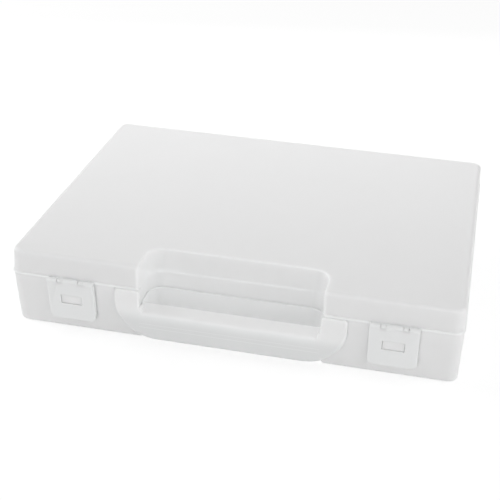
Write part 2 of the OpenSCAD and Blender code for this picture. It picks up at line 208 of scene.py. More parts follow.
def bend(centre, r, a0, a1, sign=1, n=14):
    """Round stretch of an outline: centre plus r (cos a, sin a). Outward is that direction times sign."""
    a = np.radians(np.linspace(a0, a1, n + 2)[1:-1])
    d = np.stack([np.cos(a), np.sin(a)], 1)
    return np.array(centre) + r * d, sign * d


def case_outline(step_y):
    """Outline of the case with its notch, anticlockwise from above, as points and outward directions.

    Each straight stretch has its own spacing of points. Two points lie close together on each side wall of
    the notch, on either side of step_y, where the height of the rim changes at once.
    """
    w, d, r = HALF_W, HALF_D, CORNER_R
    n, m, b, k = NOTCH_HALF, MOUTH_R, NOTCH_BACK, NOTCH_R
    parts = [
        leg((-w + r, -d), (-n - m, -d), 9, (0, -1)),
        bend((-n - m, -d + m), m, -90, 0),
        leg((-n, -d + m), (-n, step_y - STEP_HALF), 3, (1, 0)),
        leg((-n, step_y + STEP_HALF), (-n, b - k), 4, (1, 0)),
        bend((-n + k, b - k), k, 180, 90, -1),
        leg((-n + k, b), (n - k, b), 9, (0, -1)),
        bend((n - k, b - k), k, 90, 0, -1),
        leg((n, b - k), (n, step_y + STEP_HALF), 4, (-1, 0)),
        leg((n, step_y - STEP_HALF), (n, -d + m), 3, (-1, 0)),
        bend((n + m, -d + m), m, 180, 270),
        leg((n + m, -d), (w - r, -d), 9, (0, -1)),
        bend((w - r, -d + r), r, -90, 0),
        leg((w, -d + r), (w, d - r), 12, (1, 0)),
        bend((w - r, d - r), r, 0, 90),
        leg((w - r, d), (-w + r, d), 12, (0, 1)),
        bend((-w + r, d - r), r, 90, 180),
        leg((-w, d - r), (-w, -d + r), 12, (-1, 0)),
        bend((-w + r, -d + r), r, 180, 270),
    ]
    return np.concatenate([p for p, _ in parts]), np.concatenate([o for _, o in parts])


def lean_shift(points, lean):
    """How far each point of an outline moves at full lean, as an offset in x and y.

    Sideways it grows evenly from the mouth of the notch to the end of the case, and in depth from the back
    of the notch to the front of the case, and alike behind.
    """
    x, y = points[:, 0], points[:, 1]
    side = np.clip((np.abs(x) - NOTCH_HALF - MOUTH_R) / (HALF_W - NOTCH_HALF - MOUTH_R), 0, 1)
    depth = np.clip((np.abs(y) + NOTCH_BACK) / (HALF_D + NOTCH_BACK), 0, 1)
    return -np.stack([np.sign(x) * side * lean[0], np.sign(y) * depth * lean[1]], 1)


def inset_outline(outline, inset):
    """Outline moved in by inset against its outward directions.

    Past the radius of the mouth's corners, the points there meet in one sharp corner, where the two moved
    walls cross.
    """
    points, out = outline
    moved = points - out * inset[:, None]
    at_front = (points[:, 1] < NOTCH_BACK) & (np.abs(points[:, 0]) < HALF_W / 2)
    before = at_front & (points[:, 1] < -HALF_D + MOUTH_R - NEAR)
    side = np.sign(points[:, 0])
    x = np.where(before, side * np.maximum(np.abs(moved[:, 0]), NOTCH_HALF + inset), moved[:, 0])
    y = np.where(at_front, np.maximum(moved[:, 1], -HALF_D + inset), moved[:, 1])
    return np.stack([x, y], 1)


def shade(mesh):
    """Smooth shading, but for edges that turn by more than SHARP_DEG."""
    mesh.shade_smooth()
    mesh.set_sharp_from_angle(angle=math.radians(SHARP_DEG))


def make_mesh(name, points, faces):
    """Shaded mesh object from points in millimetres and faces."""
    mesh = bpy.data.meshes.new(name)
    mesh.from_pydata((np.asarray(points) * MM).tolist(), [], faces)
    mesh.validate()
    shade(mesh)
    obj = bpy.data.objects.new(name, mesh)
    bpy.context.scene.collection.objects.link(obj)
    return obj


def ring_faces(rows, n):
    """Quads between rows of n points each, closed round, facing out of a solid whose rows run downwards."""
    r, i = np.meshgrid(np.arange(rows - 1), np.arange(n), indexing="ij")
    j = (i + 1) % n
    quads = np.stack([r * n + i, (r + 1) * n + i, (r + 1) * n + j, r * n + j], -1)
    return quads.reshape(-1, 4).tolist()


def closed_shell(name, rows):
    """Solid from a stack of closed outlines: quads between them, and a flat cap on the first and last."""
    count, n = rows.shape[:2]
    faces = ring_faces(count, n)
    faces.append(list(range(n)))
    faces.append(list(range((count - 1) * n, count * n))[::-1])
    return make_mesh(name, rows.reshape(-1, 3), faces)


def prism(profile, x0, x1, soft=0.25):
    """Bar along X with a closed side profile of (y, z) points, anticlockwise seen from +X, and soft ends.

    Each end is the profile moved in by soft: every corner slides along the mean of its two edges' normals.
    """
    p = np.asarray(profile, float)
    edge = np.roll(p, -1, 0) - p
    normal = np.stack([edge[:, 1], -edge[:, 0]], 1) / np.linalg.norm(edge, axis=1)[:, None]
    before = np.roll(normal, 1, 0)
    mitre = (normal + before) / (1 + np.sum(normal * before, 1))[:, None]
    small = p - soft * mitre
    rows = [(x1, small), (x1 - soft, p), (x0 + soft, p), (x0, small)]
    return closed_shell("part", np.array([np.column_stack([np.full(len(q), x), q]) for x, q in rows]))


def union(obj, parts):
    """Union of obj with closed solids, by Blender's exact solver. The solids are then deleted."""
    for part in parts:
        boolean = obj.modifiers.new("join", "BOOLEAN")
        boolean.operation = "UNION"
        boolean.solver = "EXACT"
        boolean.object = part
    mesh = bpy.data.meshes.new_from_object(obj.evaluated_get(bpy.context.evaluated_depsgraph_get()))
    obj.modifiers.clear()
    obj.data = mesh
    for part in parts:
        bpy.data.objects.remove(part)
    shade(mesh)


def quarter(r, n=6):
    """Edge round of radius r: how far its n points lie in, r (1 - sin a), and down, r (1 - cos a)."""
    a = np.linspace(0, math.pi / 2, n)
    return r * (1 - np.sin(a)), r * (1 - np.cos(a))


def stack(outline, lean, low, high, profile):
    """Rows of a shell. Each entry of the profile gives every point's inset from the outline and its height.

    The outline leans in by a share of its full lean that grows from 0 at height low to 1 at height high.
    """
    points = outline[0]
    shift = lean_shift(points, lean)
    rows = []
    for inset, z in profile:
        z = np.broadcast_to(np.asarray(z, float), len(points))
        flat = inset_outline(outline, np.broadcast_to(np.asarray(inset, float), len(points)))
        share = np.clip((z - low) / (high - low), 0, 1)
        rows.append(np.column_stack([flat + shift * share[:, None], z]))
    return np.array(rows)


def arc(y, z, r, a0, a1, n=10):
    """Points (y, z) + r (cos a, sin a) of an arc, as an array."""
    a = np.radians(np.linspace(a0, a1, n))
    return np.stack([y + r * np.cos(a), z + r * np.sin(a)], 1)


def knuckle(x, width, up):
    """Knuckle of a hinge, centred at x: a round eye on a gusset; up is 1 on the lid and -1 on the base."""
    root = HALF_D - WALL / 2
    mid = HINGE_Z + up * GAP / 2
    side = HINGE_Y - KNUCKLE_R * EYE_SIDE
    if up > 0:
        eye = arc(HINGE_Y, HINGE_Z, KNUCKLE_R, -135, 45, 18)
        profile = [*eye, (root, HINGE_Z + GUSSET_H), (root, mid), (side, mid)]
    else:
        eye = arc(HINGE_Y, HINGE_Z, KNUCKLE_R, -45, 135, 18)
        profile = [*eye, (side, mid), (root, mid), (root, HINGE_Z - GUSSET_H)]
    return prism(profile, x - width / 2, x + width / 2)


def latch_lug(x):
    """Lug on the lid that carries a latch pin, centred at x: a round eye before the rim, on a thin root.

    It is slimmer than the barrel by the skin that covers its slot from the front, and the skin clears the
    root when the latch is open.
    """
    root = -HALF_D + WALL / 2
    r = LATCH_BARREL_R - SKIN
    top = LATCH_Z + LUG_ROOT
    eye = arc(LATCH_Y, LATCH_Z, r, 20, 345, 30)
    return prism([*eye, (root, LID_Z), (root, top)], x - LUG_W / 2, x + LUG_W / 2)


def lean_with_latch(profile):
    """(y, z) points given from the pivot of an upright latch, turned by the lean of the front wall and put
    in place."""
    lean = math.atan(BASE_LEAN[1] / SEAM)
    turn = np.array([[math.cos(lean), math.sin(lean)], [-math.sin(lean), math.cos(lean)]])
    return np.array(profile) @ turn + (LATCH_Y, LATCH_Z)


def slot_skin(x):
    """Skin over the front of the lug slot at x, from a little above the middle of the barrel down into the
    plate."""
    r, depth = LATCH_BARREL_R, LATCH_BARREL_R - PLATE_STEP
    outer_arc = arc(0, 0, r, SKIN_TOP, 180 + math.degrees(math.acos(depth / r)), 8)
    inner_arc = arc(0, 0, r - SKIN + SKIN_GAP, SKIN_FOOT, SKIN_TOP, 6)
    profile = [*outer_arc, (-depth, -r), (-depth + SKIN, -r), (-depth + SKIN, -r / 2), *inner_arc]
    half = LUG_W / 2 + SIDE_GAP + SKIN_LAP
    return prism(lean_with_latch(profile), x - half, x + half, SKIN_SOFT)


def catch_nub(x):
    """Catch nub on the base, in the window of the latch at x: a low block with soft corners.

    Its profile is set out in the latch's own leaning plane, as depth and height from the pivot.
    """
    low, high = NUB_GAP - WINDOW_DROP - WINDOW_H, -WINDOW_DROP - NUB_GAP
    face, soft = PLATE_FRONT - LATCH_Y + NUB_DROP, NUB_SOFT
    upper = [(NUB_ROOT, high), (face + soft, high), (face, high - soft)]
    lower = [(face, low + soft), (face + soft, low), (NUB_ROOT, low)]
    profile = [*upper, *lower]
    half = WINDOW_W / 2 - NUB_GAP
    return prism(lean_with_latch(profile), x - half, x + half, soft)


def smooth_step(t):
    """Smooth rise from 0 to 1: t squared times (3 - 2 t), with t kept between 0 and 1."""
    t = np.clip(t, 0, 1)
    return t * t * (3 - 2 * t)


def handle_outline():
    """Front outline of the handle, anticlockwise from the front, as (x, z) points and outward directions.

    With each point go the radius of its edge round and its share of the bar's own sloping top, which is 1
    along the top of the bar. The left half mirrors the right one.
    """
    w, top, foot, b = HANDLE_HALF, HANDLE_TOP, HANDLE_FOOT, BAR_HALF
    c, t, k = HANDLE_CORNER_R, HANDLE_TOP_R, BAR_CORNER_R
    sloped = b - k - BAR_RAMP
    under, side, upper, inner = BAR_UNDER_R, HANDLE_SIDE_R, ARM_TOP_EDGE_R, BAR_BACK_R
    # Each stretch: points and directions, edge radius at both ends, share of the sloping top at both ends
    stretches = [
        (leg((0, foot), (w - c, foot), 5, (0, -1)), (under, under), (0, 0)),
        (bend((w - c, foot + c), c, 270, 360, n=34), (under, side), (0, 0)),
        (leg((w, foot + c), (w, top - t), 6, (1, 0)), (side, side), (0, 0)),
        (bend((w - t, top - t), t, 0, 90, n=8), (side, upper), (0, 0)),
        (leg((w - t, top), (b + t, top), 5, (0, 1)), (upper, upper), (0, 0)),
        (bend((b + t, top - t), t, 90, 180, n=8), (upper, inner), (0, 0)),
        (leg((b, top - t), (b, BAR_TOP + k), 3, (-1, 0)), (inner, inner), (0, 0)),
        (bend((b - k, BAR_TOP + k), k, 0, -90, -1, n=5), (inner, inner), (0, 0)),
        (leg((b - k, BAR_TOP), (sloped, BAR_TOP), RAMP_STEP, (0, 1)), (inner, inner), (0, 1)),
        (leg((sloped - RAMP_PAST, BAR_TOP), (0, BAR_TOP), 9, (0, 1)), (inner, inner), (1, 1)),
    ]
    columns = []
    for (p, o), (r0, r1), (s0, s1) in stretches:
        eased = smooth_step(np.linspace(0, 1, len(p)))
        columns.append((p, o, r0 + (r1 - r0) * eased, s0 + (s1 - s0) * eased))
    points, out, radius, share = (np.concatenate(column) for column in zip(*columns))
    # The first and the last point lie on the middle plane, and aren't doubled
    flip = np.array([-1, 1])
    points = np.concatenate([points, points[-2:0:-1] * flip])
    out = np.concatenate([out, out[-2:0:-1] * flip])
    return points, out, *(np.concatenate([v, v[-2:0:-1]]) for v in (radius, share))


def bar_slope():
    """Slope, in radians, of the line that touches the bar's front and back edge rounds from above."""
    step = BAR_EDGE_R - BAR_BACK_R
    reach = BAR_D - BAR_EDGE_R - BAR_BACK_R
    return math.acos(step / math.hypot(reach, BAR_FALL + step)) - math.atan2(reach, BAR_FALL + step)


def bar_top_profile(inset, back):
    """Top of the bar, taken in by inset: how far each point lies below the bar's top and behind its front.

    The first array runs from the front face over the front edge round, and the second along the sloping top
    to depth back.
    """
    slope = bar_slope()
    r = BAR_EDGE_R - inset
    centre_in = BAR_FALL + BAR_EDGE_R
    a = np.linspace(0, math.pi / 2 - slope, 8)
    front = np.stack([centre_in - r * np.sin(a), BAR_EDGE_R - r * np.cos(a)], 1)
    depth = np.linspace(front[-1, 1], back, 4)[1:]
    top = np.stack([front[-1, 0] - (depth - front[-1, 1]) * math.tan(slope), depth], 1)
    return front, top


def wall_front(z):
    """Y of the base's leaning front wall at height z."""
    return -HALF_D + BASE_LEAN[1] * (SEAM - z) / SEAM


def handle_depth(points):
    """Depth of the handle's back edge: to the base's leaning front wall, or the bar's full depth."""
    x, z = np.abs(points[:, 0]), points[:, 1]
    wall = wall_front(z) - HANDLE_FRONT
    at_corner = (z < BAR_TOP + BAR_CORNER_R) & (x < BAR_HALF - BAR_CORNER_R / 2)
    in_bar = (z < BAR_TOP - BAR_CORNER_R) | at_corner
    return np.where((x < BAR_HALF) & in_bar, BAR_D, wall)


def bar_profile(inset, back):
    """Side profile of the bar as (y, z) points, taken in by inset, but with its back at y = back."""
    slope = bar_slope()
    y, z, r = HANDLE_FRONT + BAR_EDGE_R, BAR_TOP - BAR_FALL - BAR_EDGE_R, BAR_EDGE_R - inset
    back_z = z + r / math.cos(slope) + (back - y) * math.tan(slope)
    under = arc(HANDLE_FRONT + BAR_UNDER_R, HANDLE_FOOT + BAR_UNDER_R, BAR_UNDER_R - inset, 180, 270)
    return [*arc(y, z, r, 90 + math.degrees(slope), 180), *under, (back, HANDLE_FOOT + inset), (back, back_z)]


def peg(x, z):
    """Round peg of an arm, through the front wall of the base, with a soft end."""
    start = HANDLE_FRONT + HANDLE_WALL / 2
    end = wall_front(z) + WALL + PEG_PAST
    a = np.linspace(0, 2 * math.pi, PEG_SIDES + 1)[:-1]
    rows = [(PEG_R - PEG_SOFT, end), (PEG_R, end - PEG_SOFT), (PEG_R, start)]
    points = [np.stack([x - r * np.cos(a), np.full(PEG_SIDES, y), z + r * np.sin(a)], 1) for r, y in rows]
    return closed_shell("peg", np.array(points))


def make_handle():
    """Handle: a U-shaped tray, open behind, with ribs across its bar and pegs on its arms.

    Rows of points follow its front outline, each at an inset and a depth of its own: the front face, the
    edge round, the side, the rim at the back, and the hollow.
    """
    points, out, radius, bar = handle_outline()
    depth = handle_depth(points)
    flat = np.zeros(len(points))
    front, top = bar_top_profile(0, BAR_D - BAR_BACK_R)
    inner_front, inner_top = bar_top_profile(HANDLE_WALL, BAR_D)
    rows = []

    def row(inset, deep, bar_inset, bar_deep):
        """One row, blended from the plain edge to the bar's sloping top."""
        i = inset + (bar_inset - inset) * bar
        d = deep + (bar_deep - deep) * bar
        moved = points - out * i[:, None]
        rows.append(np.stack([moved[:, 0], HANDLE_FRONT + d, moved[:, 1]], 1))

    row(radius + HOLD_NEAR, flat, front[0, 0] + HOLD_NEAR, 0.0)
    for a, (bar_inset, bar_deep) in zip(np.linspace(0, math.pi / 2, len(front)), front):
        row(radius * (1 - math.sin(a)), radius * (1 - math.cos(a)), bar_inset, bar_deep)
    for t, (bar_inset, bar_deep) in zip(SIDE_ROWS, top):
        row(0, radius + (depth - radius) * t, bar_inset, bar_deep)
    # Rim at the back, soft on its outer edge
    for a in np.linspace(0, math.pi / 2, 5):
        up, back = 1 - math.cos(a), 1 - math.sin(a)
        row(SOFT * up, depth - SOFT * back, BAR_BACK_R * up, BAR_D - BAR_BACK_R * back)
    row(HANDLE_WALL - SOFT, depth, inner_top[-1, 0] - SOFT, BAR_D)
    row(HANDLE_WALL, depth - SOFT, inner_top[-1, 0], BAR_D - SOFT)
    for t, (bar_inset, bar_deep) in zip(HOLLOW_ROWS, inner_top[-2::-1]):
        row(HANDLE_WALL, HANDLE_WALL + (depth - HANDLE_WALL) * t, bar_inset, bar_deep)
    inner = np.minimum(np.maximum(radius - HANDLE_WALL, HOLLOW_R), (depth - HANDLE_WALL) * HOLLOW_SHARE)
    for a, (bar_inset, bar_deep) in zip(np.linspace(math.pi / 2, 0, len(front)), inner_front[::-1]):
        row(HANDLE_WALL + inner * (1 - math.sin(a)), HANDLE_WALL + inner * (1 - math.cos(a)),
            bar_inset, bar_deep)
    row(HANDLE_WALL + inner + HOLLOW_HOLD, HANDLE_WALL + flat, inner_front[0, 0] + HOLLOW_HOLD, HANDLE_WALL)
    handle = closed_shell("handle", np.array(rows))
    rib = bar_profile(HANDLE_WALL / 2, HANDLE_FRONT + BAR_D - RIB_T)
    step = 2 * BAR_HALF / (RIB_COUNT + 1)
    places = [i * step - BAR_HALF for i in range(1, RIB_COUNT + 1)]
    ribs = [prism(rib, x - RIB_T / 2, x + RIB_T / 2, RIB_SOFT) for x in places]
    pegs = [peg(x, PEG_Z + i * PEG_STEP) for x in (-PEG_X, PEG_X) for i in (0, 1)]
    union(handle, [*ribs, *pegs])
    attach(handle, "base")
    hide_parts("carry_handle")
    return handle


def make_latch(side, x):
    """Latch of a side, at x: a copy of its CAD mesh with the flat faces merged, a skin over each of its two
    lug slots, and every corner edge rounded."""
    node = "latch_" + side
    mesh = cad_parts[node].data.copy()
    edit = bmesh.new()
    edit.from_mesh(mesh)
    bmesh.ops.remove_doubles(edit, verts=edit.verts, dist=MERGE * MM)
    bmesh.ops.dissolve_limit(edit, angle_limit=math.radians(FLAT_DEG), verts=edit.verts, edges=edit.edges)
    edit.to_mesh(mesh)
    edit.free()
    latch = bpy.data.objects.new(side + "_flip_latch", mesh)
    bpy.context.scene.collection.objects.link(latch)
    union(latch, [slot_skin(x - LUG_X), slot_skin(x + LUG_X)])
    bevel = latch.modifiers.new("edges", "BEVEL")
    bevel.width = LATCH_SOFT * MM
    bevel.segments = 3
    bevel.limit_method = "ANGLE"
    bevel.angle_limit = math.radians(CORNER_DEG)
    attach(latch, side + "_latch")
    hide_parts(node)
    return latch


def make_lid():
    """Lid: flat top, round edge, leaning walls, bead along the rim, and the wall that hangs in the notch."""
    step_y = POST_D - CASE_D / 2 + SWING_GAP
    points, out = case_outline(step_y)
    x, y = points[:, 0], points[:, 1]
    in_notch = (np.abs(x) <= NOTCH_HALF + NEAR) & (y > step_y)
    beside = (np.abs(x) < NOTCH_HALF + MOUTH_R) & (y < NOTCH_BACK + NOTCH_ROOM)
    # Share of the notch's own form: 1 in the notch, falling to 0 round the corners of its mouth
    notch = np.where(beside, np.where(y < MOUTH_R - HALF_D, np.abs(out[:, 0]), 1.0), 0.0)
    ledge = NOTCH_LEDGE * notch
    bead = ledge - BEAD_OUT * (1 - notch)
    edge = LID_EDGE_R + (NOTCH_EDGE_R - LID_EDGE_R) * notch
    rim = np.where(in_notch, NOTCH_SEAM + LINE, LID_Z)
    bead_top = LID_Z + BEAD_H
    edge_in, edge_down = quarter(1, 10)
    profile = [(ledge + edge + HOLD_FAR, CASE_H), (ledge + edge + HOLD_NEAR, CASE_H)]
    profile += [(ledge + edge * i, CASE_H - edge * d) for i, d in zip(edge_in, edge_down)]
    profile += [(ledge, z) for z in np.linspace(CASE_H - LID_EDGE_R, bead_top + BEAD_START, 5)[1:]]
    # The bead swells out over the last stretch, except in the notch, where the wall runs on down
    profile += [(ledge + (bead - ledge) * swell, bead_top + rise) for swell, rise in BEAD_FORM]
    soft_in, soft_down = quarter(RIM_SOFT, 4)
    profile += [(bead, rim + RIM_SOFT * SOFT_ABOVE)]
    profile += [(bead + i, rim + RIM_SOFT - d) for i, d in zip(soft_in[::-1], RIM_SOFT - soft_down[::-1])]
    inner = ledge + WALL
    profile += [(inner - SOFT, rim), (inner - SOFT * SOFT_MID, rim + SOFT * SOFT_MID), (inner, rim + SOFT)]
    inner_r = LID_EDGE_R - WALL
    profile += [(inner, rim + LID_HOLD), (inner, bead_top + BEAD_HOLD), (inner, CASE_H - TOP_T - inner_r)]
    inner_in, inner_down = quarter(inner_r, 5)
    profile += [(inner + i, CASE_H - TOP_T - d) for i, d in zip(inner_in[::-1], inner_down[::-1])][1:]
    profile += [(inner + inner_r + HOLD_INSIDE, CASE_H - TOP_T)]
    lid = closed_shell("lid", stack((points, out), LID_LEAN, LID_Z, CASE_H, profile))
    knuckles = [knuckle(x, LID_KNUCKLE_W, 1) for x in (-HINGE_X, HINGE_X)]
    lugs = [latch_lug(x + side) for x in (-LATCH_X, LATCH_X) for side in (-LUG_X, LUG_X)]
    union(lid, knuckles + lugs)
    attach(lid, "lid")
    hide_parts("lid_shell")
    return lid


def make_base():
    """Base: flat floor, leaning walls, a soft rim with its tongue, and the low rim round the open notch."""
    step_y = POST_D - CASE_D / 2
    points, out = case_outline(step_y)
    x, y = points[:, 0], points[:, 1]
    in_notch = (np.abs(x) <= NOTCH_HALF + NEAR) & (y > step_y)
    tongue = (np.abs(x) >= NOTCH_HALF + MOUTH_R + TONGUE_STOP) | (y >= NOTCH_BACK + NOTCH_ROOM)
    rim = np.where(in_notch, NOTCH_SEAM, SEAM)
    tip = rim + np.where(tongue, TONGUE_H, 0.0)
    lean_beside = LID_LEAN[0] * TONGUE_H / (CASE_H - LID_Z)
    face = np.where(tongue, WALL + GAP + lean_beside, WALL / 2)
    back = np.where(tongue, face + TONGUE_T, WALL)
    root = np.where(tongue, rim - TONGUE_ROOT, rim - SOFT)
    inner_r = BASE_EDGE_R - WALL
    inner_in, inner_down = quarter(inner_r, 5)
    profile = [(WALL + inner_r + HOLD_INSIDE, FLOOR_T)]
    profile += [(WALL + i, FLOOR_T + d) for i, d in zip(inner_in, inner_down)]
    profile += [(WALL, z) for z in (*BASE_INNER_ROWS, root - np.where(tongue, TONGUE_HOLD, NOTCH_HOLD))]
    profile += [(back, root), (back, tip - SOFT), (back - SOFT * SOFT_MID, tip - SOFT * SOFT_MID),
                (back - SOFT, tip)]
    soft = np.where(tongue, SOFT, 0)
    profile += [(face + soft, tip), (face, tip - soft), (face, rim)]
    soft_in, soft_down = quarter(SOFT, 4)
    profile += [(SOFT * SOFT_ABOVE, rim)]
    profile += [(i, rim - d) for i, d in zip(soft_in, soft_down)]
    profile += [(0, z) for z in (rim - RIM_HOLD, *BASE_ROWS)]
    edge_in, edge_down = quarter(BASE_EDGE_R, 9)
    profile += [(i, d) for i, d in zip(edge_in[::-1], edge_down[::-1])]
    profile += [(BASE_EDGE_R + HOLD_NEAR, 0), (BASE_EDGE_R + HOLD_FAR, 0)]
    base = closed_shell("base", stack((points, out), BASE_LEAN, SEAM, 0.0, profile))
    side_w = (HINGE_W - LID_KNUCKLE_W) / 2 - SIDE_GAP
    offset = (HINGE_W - side_w) / 2
    knuckles = [knuckle(x + side, side_w, -1) for x in (-HINGE_X, HINGE_X) for side in (-offset, offset)]
    nubs = [catch_nub(x) for x in (-LATCH_X, LATCH_X)]
    union(base, knuckles + nubs)
    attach(base, "base")
    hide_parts("base_tray")
    return base


# Sizes in millimetres of the moulded grain and of the faint clouds in the plastic. The real grain is finer,
# and is drawn this coarse so that it shows
GRAIN, CLOUD = 0.6, 70.0
# Range that most of a noise lies in, and the share of the colour that is left in the darkest cloud
NOISE_LOW, NOISE_HIGH = 0.3, 0.7
CLOUD_DARK = 0.985
# The grain: strength, height in millimetres, and how much roughness it adds and takes away
GRAIN_STRENGTH, GRAIN_HEIGHT, GRAIN_GLOSS = 0.08, 0.1, 0.04
PLASTIC_IOR = 1.49
# Share of the light that a painted highlight gives back from its surface, and how much lighter its colour is
# painted
HIGHLIGHT_SURFACE, HIGHLIGHT_LIFT = 1.0, 0.06
# Half width of the painted highlight along the seam in the notch, and how far behind the handle's front the
# painted highlights of its ridges end
SEAM_HIGHLIGHT, RIDGE_HIGHLIGHT_BACK = 1.0, 1.0
# Heights between which the handle's painted shade, darker towards its foot, fades to its full colour
PAINTED_SHADE_LOW, PAINTED_SHADE_HIGH = 20.0, 36.0


def hex_colour(text):
    """sRGB hex to linear: a channel c becomes c/12.92 up to 0.04045, else ((c + 0.055)/1.055) to the 2.4."""
    out = []
    for i in (1, 3, 5):
        c = int(text[i:i + 2], 16) / 255
        out.append(c / 12.92 if c <= 0.04045 else ((c + 0.055) / 1.055) ** 2.4)
    return (*out, 1.0)


def add(tree, kind, settings=None, links=None):
    """One node of a kind, with its settings by attribute or input name and its inputs linked by name."""
    node = tree.nodes.new(kind)
    for key, value in (settings or {}).items():
        if isinstance(key, str) and hasattr(node, key):
            setattr(node, key, value)
        else:
            node.inputs[key].default_value = value
    for key, source in (links or {}).items():
        tree.links.new(source, node.inputs[key])
    return node


def highlight_band(tree, split, level, width, reach, back):
    """Mask of a painted highlight: 1 on a level line, falling smoothly to 0 at its half width.

    It is 0 past its reach in X on either side, and behind its back in Y. split gives X, Y and Z.
    """
    off = add(tree, "ShaderNodeMath", {"operation": "SUBTRACT", 1: level * MM}, {0: split.outputs["Z"]})
    off = add(tree, "ShaderNodeMath", {"operation": "ABSOLUTE"}, {0: off.outputs[0]})
    falling = {"interpolation_type": "SMOOTHSTEP", "From Max": width * MM, "To Min": 1.0, "To Max": 0.0}
    band = add(tree, "ShaderNodeMapRange", falling, {"Value": off.outputs[0]})
    side = add(tree, "ShaderNodeMath", {"operation": "ABSOLUTE"}, {0: split.outputs["X"]})
    across = add(tree, "ShaderNodeMath", {"operation": "LESS_THAN", 1: reach * MM}, {0: side.outputs[0]})
    front = add(tree, "ShaderNodeMath", {"operation": "LESS_THAN", 1: back * MM}, {0: split.outputs["Y"]})
    within = add(tree, "ShaderNodeMath", {"operation": "MULTIPLY"},
                 {0: across.outputs[0], 1: front.outputs[0]})
    return add(tree, "ShaderNodeMath", {"operation": "MULTIPLY"},
               {0: band.outputs[0], 1: within.outputs[0]})


def polypropylene(name, colour, depth, roughness, painted_highlights=(), foot=1.0):
    """Natural polypropylene, injection moulded and left frosted: milky, with an even grain and soft gloss.

    Light scatters through it over the depth in millimetres, so thin walls glow and edges stay soft. Broad
    faint clouds keep large faces from looking flat. Along the painted highlights, light comes back from the
    surface itself and the colour is painted lighter, so each reads as a thin bright line. foot is the share
    of the colour left below PAINTED_SHADE_LOW, growing to all of it at PAINTED_SHADE_HIGH: painted shade,
    darker towards the bottom, for a part that is hollow behind and gives less light back than one on a wall.
    """
    material = bpy.data.materials.new(name)
    material.use_nodes = True
    tree = material.node_tree
    tree.nodes.clear()
    where = add(tree, "ShaderNodeTexCoord").outputs["Object"]
    noise = {"From Min": NOISE_LOW, "From Max": NOISE_HIGH}
    grain = add(tree, "ShaderNodeTexNoise", {"Scale": 1 / (GRAIN * MM), "Detail": 3}, {"Vector": where})
    cloud = add(tree, "ShaderNodeTexNoise", {"Scale": 1 / (CLOUD * MM), "Detail": 1}, {"Vector": where})
    share = add(tree, "ShaderNodeMapRange", {**noise, "To Min": CLOUD_DARK, "To Max": 1.0},
                {"Value": cloud.outputs[0]})
    split = add(tree, "ShaderNodeSeparateXYZ", {}, {0: where})
    # Painted shade: the colour falls to the share foot towards the bottom of the part
    shade_ramp = {"interpolation_type": "SMOOTHSTEP", "From Min": PAINTED_SHADE_LOW * MM, "From Max": PAINTED_SHADE_HIGH * MM}
    low = add(tree, "ShaderNodeMapRange", {**shade_ramp, "To Min": foot, "To Max": 1.0},
              {"Value": split.outputs["Z"]})
    both = add(tree, "ShaderNodeMath", {"operation": "MULTIPLY"}, {0: share.outputs[0], 1: low.outputs[0]})
    # Strength of the painted highlights: the largest of them all, and 0 where there is none
    highlight_strength = add(tree, "ShaderNodeMath", {"operation": "MULTIPLY", 0: 0.0, 1: 0.0})
    for at in painted_highlights:
        one = highlight_band(tree, split, *at)
        highlight_strength = add(tree, "ShaderNodeMath", {"operation": "MAXIMUM"},
                     {0: highlight_strength.outputs[0], 1: one.outputs[0]})
    # Along the painted highlights, light comes back from the surface rather than from deep in the plastic,
    # and the colour is painted lighter
    inside = add(tree, "ShaderNodeMath", {"operation": "MULTIPLY_ADD", 1: -HIGHLIGHT_SURFACE, 2: 1.0},
                 {0: highlight_strength.outputs[0]})
    both = add(tree, "ShaderNodeMath", {"operation": "MULTIPLY_ADD", 1: HIGHLIGHT_LIFT},
               {0: highlight_strength.outputs[0], 2: both.outputs[0]})
    tint = add(tree, "ShaderNodeMix", {"data_type": "RGBA", "A": (0, 0, 0, 1), "B": hex_colour(colour)},
               {"Factor": both.outputs[0]})
    bump = add(tree, "ShaderNodeBump", {"Strength": GRAIN_STRENGTH, "Distance": GRAIN_HEIGHT * MM},
               {"Height": grain.outputs["Fac"]})
    gloss = add(tree, "ShaderNodeMapRange",
                {**noise, "To Min": roughness - GRAIN_GLOSS, "To Max": roughness + GRAIN_GLOSS},
                {"Value": grain.outputs["Fac"]})
    shader = add(tree, "ShaderNodeBsdfPrincipled", {
        "subsurface_method": "RANDOM_WALK",
        "Subsurface Radius": (1, 1, 1),
        "Subsurface Scale": depth * MM,
        "IOR": PLASTIC_IOR,
    }, {
        "Subsurface Weight": inside.outputs[0],
        "Base Color": tint.outputs[2],
        "Roughness": gloss.outputs[0],
        "Normal": bump.outputs["Normal"],
    })
    add(tree, "ShaderNodeOutputMaterial", {}, {"Surface": shader.outputs["BSDF"]})
    return material


def dress(obj, material):
    """Give an object one material in place of those it has."""
    obj.data.materials.clear()
    obj.data.materials.append(material)


# Painted highlights, as level, half width, and how far they reach across and back: along the bead and the
# seam in the notch, and for the two ridges of the handle, which are drawn as painted highlights only
seam_highlights = (
    (LID_Z + BEAD_H / 2, BEAD_H, CASE_W, CASE_D),
    (NOTCH_SEAM, SEAM_HIGHLIGHT, NOTCH_HALF, NOTCH_BACK + NOTCH_R),
)
ridge_highlights = [(z, RIDGE_T / 2, BAR_HALF, HANDLE_FRONT + RIDGE_HIGHLIGHT_BACK) for z in (RIDGE_Z, RIDGE_Z + RIDGE_STEP)]
# Large pale walls: deep scatter gives the eye a milky, lit-through look. The base is a shade greyer
# Lid and base carry painted highlights along the bead and along the seam in the notch
lid_material = polypropylene("frosted_lid", "#fafbfb", 3, 0.42, seam_highlights)
base_material = polypropylene("frosted_base", "#f8f9f9", 3, 0.45, seam_highlights)
